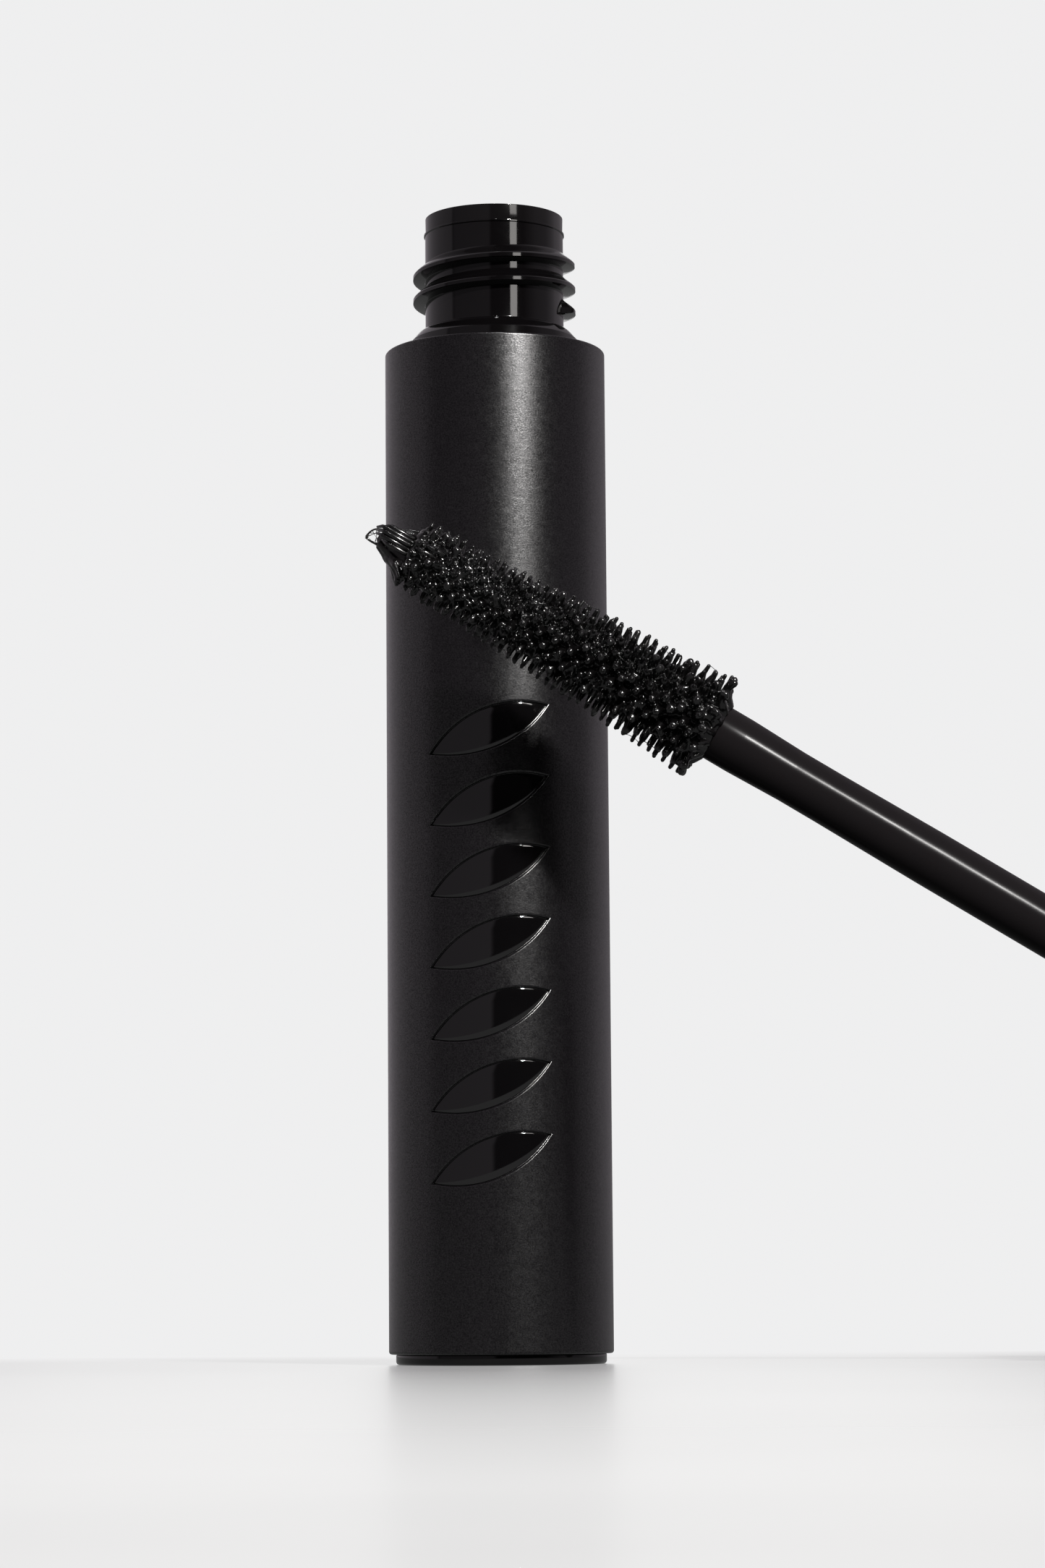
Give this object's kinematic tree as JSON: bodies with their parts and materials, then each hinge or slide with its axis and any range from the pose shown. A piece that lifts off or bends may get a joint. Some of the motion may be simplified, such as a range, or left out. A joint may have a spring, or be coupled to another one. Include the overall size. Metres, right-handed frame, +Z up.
{
  "type": "mascara tube with wand",
  "caption": "Upright cosmetic tube with a threaded neck, and a screw-on cap whose stem carries a bristle brush, held open in front of it.",
  "frame": {"origin": "centre of the underside of the foot, on the tube's axis", "axes": "+Z up along the tube's axis; -Y is the decorated front, with the drawn wand in front of it; +X to the right, towards the wand's cap"},
  "size_m": [0.1039, 0.041, 0.0988],
  "materials": {
    "soft_black": "satin soft-touch lacquer with a fine sparkle",
    "gloss_black": "moulded gloss",
    "inlay_gloss": "glossy lacquer",
    "wiper_black": "soft gloss elastomer",
    "satin_black": "satin",
    "bristle_black": "matte elastomer",
    "paste": "wet gloss",
    "seal_white": "matte foam",
    "steel": "turned",
    "label_paper": "matte film, blank"
  },
  "bodies": {
    "tube": {"foot_plug": "gloss_black", "base_label": "label_paper", "outer_sleeve": "soft_black", "motif_inlay": "inlay_gloss", "inner_bottle": "gloss_black", "wiper": "wiper_black", "paste_fill": "paste"},
    "hand_swing": {"paste_tail": "paste"},
    "hand_slide": {"gasket": "seal_white"},
    "thread_rise": {"cap_weight": "steel"},
    "wand": {"stem": "satin_black", "brush": "bristle_black", "paste_coat": "paste", "cap_shell": "soft_black", "cap_liner": "gloss_black"}
  },
  "joints": [
    {"name": "hand_swing", "type": "hinge", "parent": "tube", "child": "hand_swing", "pos_m": [-0.01682, -0.01611, 0.09809], "axis": [0.4705, -0.8416, 0.2651], "range_deg": [0, 129.26]},
    {"name": "hand_slide", "type": "slide", "parent": "hand_swing", "child": "hand_slide", "axis": [-0.8554, 0, 0.518], "range_m": [0, 0.10933], "deforming": ["paste_tail"]},
    {"name": "thread_rise", "type": "slide", "parent": "hand_slide", "child": "thread_rise", "axis": [-0.8554, 0, 0.518], "range_m": [0, 0.00308]},
    {"name": "cap_turn", "type": "hinge", "parent": "thread_rise", "child": "wand", "pos_m": [-0.01027, -0.022, 0.06778], "axis": [-0.8554, 0, 0.518], "range_deg": [0, 540]}
  ],
  "couplings": [
    {"joint": "cap_turn", "follows": "thread_rise", "rad_per_m": 3065}
  ]
}
